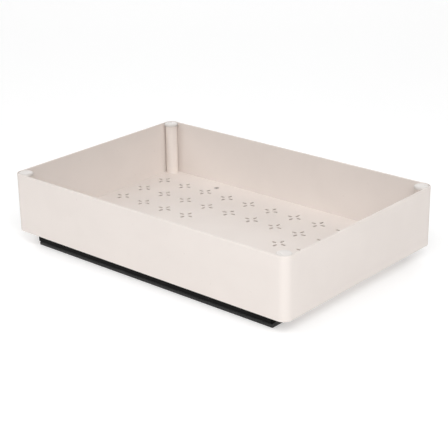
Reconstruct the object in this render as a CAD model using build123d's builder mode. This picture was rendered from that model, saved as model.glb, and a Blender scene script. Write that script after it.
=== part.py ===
from build123d import *
import os

os.makedirs("parts", exist_ok=True)

# A shallow moulded tray with a vented floor, standing on two rails.
# Lengths are in millimetres. X runs along the tray's long side, Y from front to rear, Z up.
# Z = 0 is the underside of the glide strips, on which the tray rests.

# Tray moulding
tray_length = 600.0
tray_width = 400.0
wall_height = 105.5
wall_thickness = 3.5
outer_corner_radius = 15.0
rim_rounding = 1.0
foot_rounding = 0.8
floor_thickness = 3.5
floor_recess = 1.5

# Vent groups in the floor: four slots around a centre, like a plus sign
vent_pitch_x = 53.0
vent_pitch_y = 56.0
outer_column = 5
slot_length = 9.8
slot_width = 5.0
slot_distance = 9.8

# Corner posts, centred on the tray's corner radius, and their caps, flush with the rim
post_wall_clearance = 0.1
post_wall = 2.5
post_base_thickness = 10.0
cap_radius = 13.0
cap_thickness = 4.6
cap_rounding = 3.0
cap_seat_clearance = 0.1
cap_plug_length = 12.0
cap_plug_wall = 2.0
cap_plug_clearance = 0.1
cap_lead_in = 1.0
post_pad_radius = 14.0
corner_pad_height = 1.0

# Rails: black channels, open downwards, each closed below by a glide strip
rail_offset = 170.0
rail_length = 521.0
rail_width = 30.0
rail_height = 19.0
rail_wall = 2.0
rail_rounding = 1.0
rail_slot_width = 14.0

# Glide strips
strip_height = 6.5
strip_width = 29.2
strip_bottom_rounding = 1.0
strip_neck_width = 27.0
strip_neck_height = 1.0
strip_tongue_width = 19.0
strip_tongue_height = 2.2
strip_clearance = 0.2

# End plugs of the rails
plug_flange_thickness = 2.0
plug_depth = 14.0
plug_clearance = 0.15
plug_rounding = 0.6

# Fasteners
rail_screw_spacing = 314.0
screw_radius = 2.4
screw_head_radius = 4.9
rail_screw_length = 12.0
post_screw_length = 12.0
screw_hole_radius = 2.7
countersink_radius = 5.2
screw_head_sink = 0.2
socket_width = 3.0
socket_depth = 1.6
post_screw_radius = 2.1
post_pilot_radius = 2.2
nut_width = 8.0
nut_height = 4.0
nut_bore_radius = 2.5

# Levels and places that follow
tray_bottom_z = strip_height + rail_height - floor_recess
floor_underside_z = tray_bottom_z + floor_recess
floor_top_z = floor_underside_z + floor_thickness
rim_z = tray_bottom_z + wall_height
inner_length = tray_length - 2 * wall_thickness
inner_width = tray_width - 2 * wall_thickness
inner_corner_radius = outer_corner_radius - wall_thickness
post_spacing_x = tray_length - 2 * outer_corner_radius
post_spacing_y = tray_width - 2 * outer_corner_radius
post_radius = inner_corner_radius - post_wall_clearance
post_foot_z = floor_top_z + corner_pad_height
post_top_z = rim_z - cap_thickness
rail_bottom_z = strip_height
rail_inner_top_z = floor_underside_z - rail_wall
rail_inner_bottom_z = rail_bottom_z + rail_wall
rail_end_x = rail_length / 2
strip_length = rail_length + plug_flange_thickness

corners = {
    "front_left": (-1, -1),
    "front_right": (1, -1),
    "rear_left": (-1, 1),
    "rear_right": (1, 1),
}
sides = {"front": -1, "rear": 1}


def vent_centres():
    """Centres of the vent groups: a regular grid without its middle block of three by two."""
    centres = []
    for column in range(-outer_column, outer_column + 1):
        for row in (-2.5, -1.5, -0.5, 0.5, 1.5, 2.5):
            in_middle = abs(column) <= 1 and abs(row) < 1
            if not in_middle:
                centres.append((column * vent_pitch_x, row * vent_pitch_y))
    return centres


# Tray: walls, floor and skirt in one moulding
with BuildPart() as tray_body:
    with BuildSketch(Plane.XY.offset(tray_bottom_z)):
        RectangleRounded(tray_length, tray_width, outer_corner_radius)
    extrude(amount=wall_height)
    fillet(tray_body.faces().sort_by(Axis.Z)[-1].edges(), rim_rounding)
    fillet(tray_body.faces().sort_by(Axis.Z)[0].edges(), foot_rounding)
    with BuildSketch(Plane.XY.offset(post_foot_z)):
        RectangleRounded(inner_length, inner_width, inner_corner_radius)
    extrude(amount=rim_z - post_foot_z, mode=Mode.SUBTRACT)
    rim_face = tray_body.faces().sort_by(Axis.Z)[-1]
    fillet(rim_face.inner_wires()[0].edges(), rim_rounding)

    # The floor lies a little deeper than the pads in the corners, which carry the posts
    with BuildSketch(Plane.XY.offset(floor_top_z)):
        RectangleRounded(inner_length, inner_width, inner_corner_radius)
        with GridLocations(post_spacing_x, post_spacing_y, 2, 2):
            Circle(post_radius, mode=Mode.SUBTRACT)
        with GridLocations(inner_length, inner_width, 2, 2):
            pad_reach = inner_corner_radius + post_radius
            Rectangle(2 * inner_corner_radius, 2 * pad_reach, mode=Mode.SUBTRACT)
            Rectangle(2 * pad_reach, 2 * inner_corner_radius, mode=Mode.SUBTRACT)
    extrude(amount=corner_pad_height, mode=Mode.SUBTRACT)

    # Round seats for the caps, cut into the corners' tops
    with BuildSketch(Plane.XY.offset(post_top_z)):
        with GridLocations(post_spacing_x, post_spacing_y, 2, 2):
            Circle(cap_radius + cap_seat_clearance)
    extrude(amount=cap_thickness, mode=Mode.SUBTRACT)

    # The floor's underside sits a little above the skirt, except for a pad under each post
    with BuildSketch(Plane.XY.offset(tray_bottom_z)):
        RectangleRounded(inner_length, inner_width, inner_corner_radius)
        with GridLocations(post_spacing_x, post_spacing_y, 2, 2):
            Circle(post_pad_radius, mode=Mode.SUBTRACT)
    extrude(amount=floor_recess, mode=Mode.SUBTRACT)

    # Vent slots
    with BuildSketch(Plane.XY.offset(floor_underside_z)):
        with Locations(*vent_centres()):
            with PolarLocations(slot_distance, 4):
                SlotOverall(slot_length, slot_width)
    extrude(amount=floor_thickness, mode=Mode.SUBTRACT)

    # Screw holes: down into the rails, and up into the posts
    with Locations((0, 0, floor_top_z)):
        with GridLocations(rail_screw_spacing, 2 * rail_offset, 2, 2):
            CounterSinkHole(screw_hole_radius, countersink_radius, floor_thickness)
    with Locations(Location((0, 0, tray_bottom_z), (180, 0, 0))):
        with GridLocations(post_spacing_x, post_spacing_y, 2, 2):
            CounterSinkHole(screw_hole_radius, countersink_radius, post_foot_z - tray_bottom_z)
tray_body.part.label = "tray_body"
export_step(tray_body.part, "parts/tray_body.step")


# Corner posts, with the push-in cap on top of each
for corner_name, (side_x, side_y) in corners.items():
    post_x = side_x * post_spacing_x / 2
    post_y = side_y * post_spacing_y / 2

    with BuildPart() as corner_post:
        with BuildSketch(Plane((post_x, post_y, post_foot_z))):
            Circle(post_radius)
        extrude(amount=post_top_z - post_foot_z)
        with BuildSketch(Plane((post_x, post_y, post_foot_z + post_base_thickness))):
            Circle(post_radius - post_wall)
        extrude(amount=post_top_z - post_foot_z - post_base_thickness, mode=Mode.SUBTRACT)
        with BuildSketch(Plane((post_x, post_y, post_foot_z))):
            Circle(post_pilot_radius)
        extrude(amount=post_base_thickness, mode=Mode.SUBTRACT)
    corner_post.part.label = "corner_post_" + corner_name
    export_step(corner_post.part, "parts/corner_post_" + corner_name + ".step")

    with BuildPart() as post_cap:
        with BuildSketch(Plane((post_x, post_y, post_top_z))):
            Circle(cap_radius)
        extrude(amount=cap_thickness)
        fillet(post_cap.edges().sort_by(Axis.Z)[-1], cap_rounding)
        cap_plug_radius = post_radius - post_wall - cap_plug_clearance
        with BuildSketch(Plane((post_x, post_y, post_top_z - cap_plug_length))):
            Circle(cap_plug_radius)
        extrude(amount=cap_plug_length)
        chamfer(post_cap.edges().sort_by(Axis.Z)[0], cap_lead_in)
        with BuildSketch(Plane((post_x, post_y, post_top_z - cap_plug_length))):
            Circle(cap_plug_radius - cap_plug_wall)
        extrude(amount=cap_plug_length, mode=Mode.SUBTRACT)
    post_cap.part.label = "post_cap_" + corner_name
    export_step(post_cap.part, "parts/post_cap_" + corner_name + ".step")


# Rails, glide strips and end plugs, once for each long side
for side_name, side in sides.items():
    rail_y = side * rail_offset
    rail_start = Plane((-rail_end_x, rail_y, 0), x_dir=(0, 1, 0), z_dir=(1, 0, 0))

    with BuildPart() as rail:
        with BuildSketch(rail_start):
            with Locations((0, rail_bottom_z + rail_height / 2)):
                RectangleRounded(rail_width, rail_height, rail_rounding)
            with Locations((0, (rail_inner_bottom_z + rail_inner_top_z) / 2)):
                Rectangle(
                    rail_width - 2 * rail_wall,
                    rail_height - 2 * rail_wall,
                    mode=Mode.SUBTRACT,
                )
            with Locations((0, rail_bottom_z + rail_wall / 2)):
                Rectangle(rail_slot_width, rail_wall, mode=Mode.SUBTRACT)
        extrude(amount=rail_length)
        with Locations((0, rail_y, floor_underside_z)):
            with GridLocations(rail_screw_spacing, 0, 2, 1):
                Hole(screw_hole_radius, rail_wall)
    rail.part.label = "rail_" + side_name
    export_step(rail.part, "parts/rail_" + side_name + ".step")

    # The strip runs past the rail at the right, up to the face of the end plug
    with BuildPart() as glide_strip:
        with BuildSketch(rail_start) as strip_section:
            with Locations((0, (strip_height - strip_neck_height) / 2)):
                Rectangle(strip_width, strip_height - strip_neck_height)
            fillet(strip_section.vertices().group_by(Axis.Z)[0], strip_bottom_rounding)
            with Locations((0, strip_height - strip_neck_height / 2)):
                Rectangle(strip_neck_width, strip_neck_height)
        extrude(amount=strip_length)
        with BuildSketch(rail_start):
            with Locations((0, rail_bottom_z + (rail_wall + strip_clearance) / 2)):
                Rectangle(rail_slot_width - 2 * strip_clearance, rail_wall + strip_clearance)
            with Locations((0, rail_inner_bottom_z + strip_clearance + strip_tongue_height / 2)):
                Rectangle(strip_tongue_width, strip_tongue_height)
        extrude(amount=rail_length)
    glide_strip.part.label = "glide_strip_" + side_name
    export_step(glide_strip.part, "parts/glide_strip_" + side_name + ".step")

    for end_name, end in {"left": -1, "right": 1}.items():
        plug_start = Plane((end * rail_end_x, rail_y, 0), x_dir=(0, end, 0), z_dir=(end, 0, 0))
        plug_middle_z = (rail_inner_bottom_z + strip_clearance + strip_tongue_height + rail_inner_top_z) / 2
        plug_height = rail_inner_top_z - rail_inner_bottom_z - strip_clearance - strip_tongue_height
        with BuildPart() as rail_end_plug:
            with BuildSketch(plug_start):
                with Locations((0, rail_bottom_z + rail_height / 2)):
                    RectangleRounded(rail_width, rail_height, rail_rounding)
            extrude(amount=plug_flange_thickness)
            outer_face = rail_end_plug.faces().sort_by(Axis.X)[-1 if end > 0 else 0]
            fillet(outer_face.edges(), plug_rounding)
            with BuildSketch(plug_start):
                with Locations((0, plug_middle_z)):
                    Rectangle(
                        rail_width - 2 * rail_wall - 2 * plug_clearance,
                        plug_height - 2 * plug_clearance,
                    )
            extrude(amount=-plug_depth)
        rail_end_plug.part.label = "rail_end_plug_" + side_name + "_" + end_name
        export_step(rail_end_plug.part, "parts/rail_end_plug_" + side_name + "_" + end_name + ".step")


def screw_places(spacing_x, spacing_y):
    """The four points of a rectangle centred on the tray."""
    return [(x * spacing_x / 2, y * spacing_y / 2) for x in (-1, 1) for y in (-1, 1)]


# Rail screws: countersunk heads a little below the floor, shanks through the rails into nuts
head_height = screw_head_radius - screw_radius
with BuildPart() as rail_screws:
    head_top_z = floor_top_z - screw_head_sink
    for x, y in screw_places(rail_screw_spacing, 2 * rail_offset):
        with Locations((x, y, head_top_z)):
            Cylinder(screw_radius, rail_screw_length, align=(Align.CENTER, Align.CENTER, Align.MAX))
            Cone(
                screw_radius,
                screw_head_radius,
                head_height,
                align=(Align.CENTER, Align.CENTER, Align.MAX),
            )
        with BuildSketch(Plane((x, y, head_top_z - socket_depth))):
            RegularPolygon(socket_width / 2, 6, major_radius=False)
        extrude(amount=socket_depth, mode=Mode.SUBTRACT)
rail_screws.part.label = "rail_screws"
export_step(rail_screws.part, "parts/rail_screws.step")

with BuildPart() as rail_nuts:
    nut_bottom_z = rail_inner_top_z - nut_height
    for x, y in screw_places(rail_screw_spacing, 2 * rail_offset):
        with BuildSketch(Plane((x, y, nut_bottom_z))):
            RegularPolygon(nut_width / 2, 6, major_radius=False)
            Circle(nut_bore_radius, mode=Mode.SUBTRACT)
        extrude(amount=nut_height)
rail_nuts.part.label = "rail_nuts"
export_step(rail_nuts.part, "parts/rail_nuts.step")

# Post screws: from below through the floor pads into the post bases
with BuildPart() as post_screws:
    head_bottom_z = tray_bottom_z + screw_head_sink
    post_head_height = screw_head_radius - post_screw_radius
    for x, y in screw_places(post_spacing_x, post_spacing_y):
        with Locations((x, y, head_bottom_z)):
            Cylinder(post_screw_radius, post_screw_length, align=(Align.CENTER, Align.CENTER, Align.MIN))
            Cone(
                screw_head_radius,
                post_screw_radius,
                post_head_height,
                align=(Align.CENTER, Align.CENTER, Align.MIN),
            )
        with BuildSketch(Plane((x, y, head_bottom_z))):
            RegularPolygon(socket_width / 2, 6, major_radius=False)
        extrude(amount=socket_depth, mode=Mode.SUBTRACT)
post_screws.part.label = "post_screws"
export_step(post_screws.part, "parts/post_screws.step")
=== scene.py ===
import math

import bpy
from mathutils import Matrix, Vector


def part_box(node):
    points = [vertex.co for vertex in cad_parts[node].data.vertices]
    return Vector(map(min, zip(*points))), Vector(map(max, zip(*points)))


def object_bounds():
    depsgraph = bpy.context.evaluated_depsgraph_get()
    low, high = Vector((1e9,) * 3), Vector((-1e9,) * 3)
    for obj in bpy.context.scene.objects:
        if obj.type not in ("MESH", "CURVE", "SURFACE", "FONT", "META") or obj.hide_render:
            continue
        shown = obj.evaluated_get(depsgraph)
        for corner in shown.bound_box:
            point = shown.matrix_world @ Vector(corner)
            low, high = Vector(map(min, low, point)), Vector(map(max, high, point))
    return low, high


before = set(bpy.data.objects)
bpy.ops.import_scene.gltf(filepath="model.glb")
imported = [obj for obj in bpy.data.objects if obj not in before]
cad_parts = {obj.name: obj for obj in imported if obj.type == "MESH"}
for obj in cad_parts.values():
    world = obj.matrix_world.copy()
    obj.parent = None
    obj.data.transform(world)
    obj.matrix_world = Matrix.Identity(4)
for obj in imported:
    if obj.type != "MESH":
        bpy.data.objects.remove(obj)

cad_low, cad_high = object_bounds()

# Places read from the frame, in metres
tray_low, tray_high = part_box("tray_body")
rim_z = tray_high.z
centre = (cad_low + cad_high) / 2

# The floor's top lies this far above the tray's lower edge, and the slots keep this far from its sides
FLOOR_TOP_ABOVE_EDGE = 0.005
SLOTS_FROM_SIDES = 0.012
floor_top_z = tray_low.z + FLOOR_TOP_ABOVE_EDGE

# Camera: a long lens from the front right, tilted down a little
CAMERA_AZIMUTH = 41.04
CAMERA_ELEVATION = 21.61
CAMERA_ROLL = -0.81
CAMERA_DISTANCE = 2.150
CAMERA_LENS_MM = 100.5
SENSOR_MM = 36.0
AIM_FROM_CENTRE = Vector((0.0089, -0.0005, -0.0157))


# ---------------------------------------------------------------- node helpers


class Shader:
    """A material with its Principled shader and short calls for the nodes around it."""

    def __init__(self, name, color, roughness, metallic=0.0, ior=1.46, specular=0.5):
        self.material = bpy.data.materials.new(name)
        self.material.use_nodes = True
        self.nodes = self.material.node_tree.nodes
        self.links = self.material.node_tree.links
        self.principled = self.nodes["Principled BSDF"]
        self.principled.inputs["Base Color"].default_value = (*color, 1.0)
        self.principled.inputs["Roughness"].default_value = roughness
        self.principled.inputs["Metallic"].default_value = metallic
        self.principled.inputs["IOR"].default_value = ior
        self.principled.inputs["Specular IOR Level"].default_value = specular
        self.place = self.nodes.new("ShaderNodeTexCoord").outputs["Object"]

    def link(self, source, target):
        self.links.new(source, target)

    def stretched(self, scale):
        """Object coordinates in metres, multiplied by a factor for each axis."""
        mapping = self.nodes.new("ShaderNodeMapping")
        mapping.vector_type = "POINT"
        mapping.inputs["Scale"].default_value = scale
        self.link(self.place, mapping.inputs["Vector"])
        return mapping.outputs["Vector"]

    def noise(self, size, detail=2.0, roughness=0.5, distortion=0.0, stretch=(1, 1, 1)):
        """Noise from 0 to 1 whose features are about size metres across."""
        noise = self.nodes.new("ShaderNodeTexNoise")
        noise.inputs["Scale"].default_value = 1.0 / size
        noise.inputs["Detail"].default_value = detail
        noise.inputs["Roughness"].default_value = roughness
        noise.inputs["Distortion"].default_value = distortion
        self.link(self.stretched(stretch), noise.inputs["Vector"])
        return noise.outputs["Fac"]

    def spread(self, value, low, high, to_low, to_high):
        """Maps value from low..high to to_low..to_high, clamped and smooth."""
        spread = self.nodes.new("ShaderNodeMapRange")
        spread.interpolation_type = "SMOOTHSTEP"
        for key, number in (
            ("From Min", low),
            ("From Max", high),
            ("To Min", to_low),
            ("To Max", to_high),
        ):
            spread.inputs[key].default_value = number
        self.link(value, spread.inputs["Value"])
        return spread.outputs["Result"]

    def math(self, kind, a, b):
        node = self.nodes.new("ShaderNodeMath")
        node.operation = kind
        for socket, value in zip(node.inputs, (a, b)):
            if isinstance(value, (int, float)):
                socket.default_value = value
            else:
                self.link(value, socket)
        return node.outputs["Value"]

    def mix(self, factor, color_a, color_b):
        """Colour A at factor 0, colour B at factor 1; either may be a socket."""
        node = self.nodes.new("ShaderNodeMix")
        node.data_type = "RGBA"
        self.link(factor, node.inputs["Factor"])
        for socket, value in ((node.inputs[6], color_a), (node.inputs[7], color_b)):
            if isinstance(value, tuple):
                socket.default_value = (*value, 1.0)
            else:
                self.link(value, socket)
        return node.outputs[2]

    def axis(self, letter):
        split = self.nodes.new("ShaderNodeSeparateXYZ")
        self.link(self.place, split.inputs["Vector"])
        return split.outputs[letter]

    def color(self, socket):
        self.link(socket, self.principled.inputs["Base Color"])

    def roughness(self, socket):
        self.link(socket, self.principled.inputs["Roughness"])

    def bump(self, height, strength, distance, under=None):
        """Adds a height field; distance is its depth in metres. under is an earlier bump."""
        node = self.nodes.new("ShaderNodeBump")
        node.inputs["Strength"].default_value = strength
        node.inputs["Distance"].default_value = distance
        self.link(height, node.inputs["Height"])
        if under is not None:
            self.link(under, node.inputs["Normal"])
        self.link(node.outputs["Normal"], self.principled.inputs["Normal"])
        return node.outputs["Normal"]


# ---------------------------------------------------------------- materials

CREAM = (0.800, 0.735, 0.692)
CREAM_SHADE = (0.782, 0.717, 0.675)
# The posts' cream is the tray's cream made lighter: painted light, as the posts are the same plastic
LIT_POST_CREAM = (0.845, 0.775, 0.724)
CAP_CREAM = (0.705, 0.664, 0.634)
CAP_SHADE = (0.690, 0.650, 0.620)
# Colour of the faint marks, and also of the painted shade on the slots' walls
DIRT_AND_SLOT_SHADE = (0.500, 0.448, 0.408)
# The rail's black is partly its own colour and partly painted shadow from the tray above it, so it is
# darker than the strip
RAIL_BLACK_AND_SHADOW = (0.004, 0.004, 0.004)
PLUG_BLACK = (0.002, 0.002, 0.002)
STRIP_BLACK = (0.022, 0.0225, 0.0225)
ZINC = (0.52, 0.53, 0.54)
ZINC_COOL = (0.50, 0.51, 0.53)
ZINC_WARM = (0.56, 0.53, 0.46)


def painted_slot_shade_mask(shader):
    """Mask of the painted shade: 1 below the floor's top and inside the tray's sides, as on the slots'
    walls, and 0 elsewhere.
    """
    inside = []
    for letter, side in (("X", tray_high.x), ("Y", tray_high.y)):
        from_centre = shader.math("ABSOLUTE", shader.axis(letter), 0.0)
        inside.append(shader.math("LESS_THAN", from_centre, side - SLOTS_FROM_SIDES))
    depth = shader.spread(shader.axis("Z"), floor_top_z - 0.0012, floor_top_z - 0.0001, 1.0, 0.0)
    return shader.math("MULTIPLY", depth, shader.math("MULTIPLY", *inside))


def moulded_plastic(name, light, shade, roughness, texture, waves):
    """Off-white moulded plastic: faint clouding, a few faint marks, a fine spark-eroded grain.

    The slots' walls get painted shade in the darker marks colour, and the rim is rubbed smoother.
    texture is the strength of the grain, and waves is the depth in metres of the broad sink marks of a
    large thin wall.
    """
    shader = Shader(name, light, roughness)
    clouding = shader.noise(0.09, detail=3.0, distortion=0.6)
    body = shader.mix(shader.spread(clouding, 0.35, 0.7, 0.0, 1.0), light, shade)
    marks = shader.spread(shader.noise(0.006, detail=1.5), 0.72, 0.80, 0.0, 0.16)
    marked = shader.mix(marks, body, DIRT_AND_SLOT_SHADE)
    # Painted shade: the slots' walls below the floor's top take the darker marks colour
    shader.color(shader.mix(painted_slot_shade_mask(shader), marked, DIRT_AND_SLOT_SHADE))
    gloss_patches = shader.noise(0.03, detail=2.0)
    rim_rub = shader.spread(shader.axis("Z"), rim_z - 0.0025, rim_z - 0.0005, 0.0, 0.08)
    dull = shader.spread(gloss_patches, 0.3, 0.7, roughness - 0.03, roughness + 0.04)
    shader.roughness(shader.math("SUBTRACT", dull, rim_rub))
    sinks = shader.bump(shader.noise(0.12, detail=1.0), strength=0.35, distance=waves)
    grain = shader.noise(0.0011, detail=2.0, roughness=0.6)
    shader.bump(grain, strength=texture, distance=0.00005, under=sinks)
    return shader.material


def black_coat(name, color, roughness, specular, grain):
    """Black finish: fine orange peel, grain metres across, and slightly greyer, duller patches."""
    shader = Shader(name, color, roughness, specular=specular)
    patches = shader.spread(shader.noise(0.02, detail=3.0), 0.35, 0.75, 0.0, 1.0)
    greyer = tuple(1.5 * channel + 0.002 for channel in color)
    shader.color(shader.mix(patches, color, greyer))
    shader.roughness(shader.spread(patches, 0.0, 1.0, roughness - 0.05, roughness + 0.06))
    shader.bump(shader.noise(grain, detail=2.0), strength=0.5, distance=0.00006)
    return shader.material


def drawn_strip(name, color, roughness, specular):
    """Black plastic strip: faint lines along its length from the extrusion die."""
    shader = Shader(name, color, roughness, specular=specular)
    lines = shader.noise(0.0012, detail=2.0, stretch=(0.01, 1, 1))
    rubbing = shader.noise(0.004, detail=4.0, stretch=(0.12, 1, 1))
    scuffs = shader.spread(rubbing, 0.55, 0.72, 0.0, 1.0)
    scuffed = tuple(1.8 * channel + 0.004 for channel in color)
    shader.color(shader.mix(scuffs, color, scuffed))
    shader.roughness(shader.spread(lines, 0.3, 0.7, roughness - 0.06, roughness + 0.08))
    shader.bump(lines, strength=0.6, distance=0.00004)
    return shader.material


def zinc_plate(name):
    """Zinc-plated steel: cool grey with a faint yellow bloom and small pits."""
    shader = Shader(name, ZINC, 0.34, metallic=0.95)
    bloom = shader.spread(shader.noise(0.003, detail=3.0), 0.4, 0.7, 0.0, 1.0)
    shader.color(shader.mix(bloom, ZINC_COOL, ZINC_WARM))
    shader.roughness(shader.spread(bloom, 0.0, 1.0, 0.28, 0.42))
    shader.bump(shader.noise(0.0004, detail=2.0), strength=0.4, distance=0.00002)
    return shader.material


def paint(node_names, material):
    """Gives CAD nodes their finish."""
    for node_name in node_names:
        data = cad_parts[node_name].data
        data.materials.clear()
        data.materials.append(material)


def nodes_starting(*prefixes):
    return [name for name in sorted(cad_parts) if name.startswith(prefixes)]


paint(
    ["tray_body"],
    moulded_plastic("tray_plastic", CREAM, CREAM_SHADE, roughness=0.46, texture=0.5, waves=0.0006),
)
# The posts' lighter cream is painted light; their shade colour is the tray's own cream
paint(
    nodes_starting("corner_post"),
    moulded_plastic("post_plastic", LIT_POST_CREAM, CREAM, roughness=0.4, texture=0.25, waves=0.00002),
)
paint(
    nodes_starting("post_cap"),
    moulded_plastic("cap_plastic", CAP_CREAM, CAP_SHADE, roughness=0.36, texture=0.2, waves=0.00002),
)
paint(
    ["rail_front", "rail_rear"],
    black_coat("rail_coat", RAIL_BLACK_AND_SHADOW, roughness=0.5, specular=0.09, grain=0.0008),
)
paint(
    nodes_starting("rail_end_plug"),
    black_coat("plug_plastic", PLUG_BLACK, roughness=0.5, specular=0.05, grain=0.0005),
)
paint(
    nodes_starting("glide_strip"),
    drawn_strip("strip_plastic", STRIP_BLACK, roughness=0.5, specular=0.42),
)
paint(["rail_screws", "rail_nuts", "post_screws"], zinc_plate("zinc_steel"))


# ---------------------------------------------------------------- stage, light and camera


FLOOR_HALF_WIDTH = 20.0
FLOOR_PALE = (0.745, 0.745, 0.745)
FLOOR_PALER = (0.755, 0.755, 0.755)
FLOOR_GLOW = 0.355


def studio_floor():
    """A wide pale floor under the object. It gives light of its own, which keeps the shadows light."""
    half = FLOOR_HALF_WIDTH
    mesh = bpy.data.meshes.new("studio_floor")
    corners = [(-half, -half, 0), (half, -half, 0), (half, half, 0), (-half, half, 0)]
    mesh.from_pydata(corners, [], [(0, 1, 2, 3)])
    floor = bpy.data.objects.new("studio_floor", mesh)
    bpy.context.scene.collection.objects.link(floor)
    shader = Shader("studio_floor", FLOOR_PALE, 0.7)
    shader.color(shader.mix(shader.noise(0.6), FLOOR_PALE, FLOOR_PALER))
    shader.principled.inputs["Emission Color"].default_value = (1.0, 1.0, 1.0, 1.0)
    shader.principled.inputs["Emission Strength"].default_value = FLOOR_GLOW
    mesh.materials.append(shader.material)


def direction(azimuth, elevation):
    """Unit vector from the object towards azimuth and elevation, in degrees."""
    a, e = math.radians(azimuth), math.radians(elevation)
    return Vector((math.sin(a) * math.cos(e), -math.cos(a) * math.cos(e), math.sin(e)))


def softbox(name, azimuth, elevation, distance, width, height, watts):
    """A rectangular area light that faces the object."""
    lamp = bpy.data.lights.new(name, "AREA")
    lamp.shape = "RECTANGLE"
    lamp.size, lamp.size_y = width, height
    lamp.energy = watts
    light = bpy.data.objects.new(name, lamp)
    towards = direction(azimuth, elevation)
    light.location = centre + towards * distance
    light.rotation_mode = "QUATERNION"
    light.rotation_quaternion = (-towards).to_track_quat("-Z", "Y")
    bpy.context.scene.collection.objects.link(light)


def dark_world():
    """A world without light of its own: the softboxes and the floor give all of it."""
    world = bpy.data.worlds.new("studio")
    world.use_nodes = True
    world.node_tree.nodes["Background"].inputs["Strength"].default_value = 0.0
    bpy.context.scene.world = world


def camera():
    """A long lens that looks down on the front right corner."""
    data = bpy.data.cameras.new("camera")
    data.lens = CAMERA_LENS_MM
    data.sensor_width = SENSOR_MM
    data.clip_start, data.clip_end = 0.05, 100.0
    camera_object = bpy.data.objects.new("camera", data)
    back = direction(CAMERA_AZIMUTH, CAMERA_ELEVATION)
    place = Matrix.Translation(centre + AIM_FROM_CENTRE + back * CAMERA_DISTANCE)
    turn = (-back).to_track_quat("-Z", "Y").to_matrix().to_4x4()
    roll = Matrix.Rotation(math.radians(CAMERA_ROLL), 4, "Z")
    camera_object.matrix_world = place @ turn @ roll
    bpy.context.scene.collection.objects.link(camera_object)
    bpy.context.scene.camera = camera_object


bpy.context.scene.view_settings.view_transform = "Standard"
studio_floor()
dark_world()
softbox("camera_side", azimuth=41, elevation=40, distance=3.0, width=2.2, height=2.2, watts=46)
softbox("front_left", azimuth=-35, elevation=42, distance=5.0, width=3.5, height=3.5, watts=77)
softbox("front_right", azimuth=75, elevation=42, distance=5.0, width=3.5, height=3.5, watts=82)
softbox("back", azimuth=190, elevation=50, distance=5.0, width=3.5, height=3.5, watts=25)
softbox("overhead", azimuth=0, elevation=85, distance=5.0, width=5.0, height=5.0, watts=38)
softbox("backdrop", azimuth=221, elevation=22, distance=5.0, width=6.0, height=3.2, watts=98)
camera()
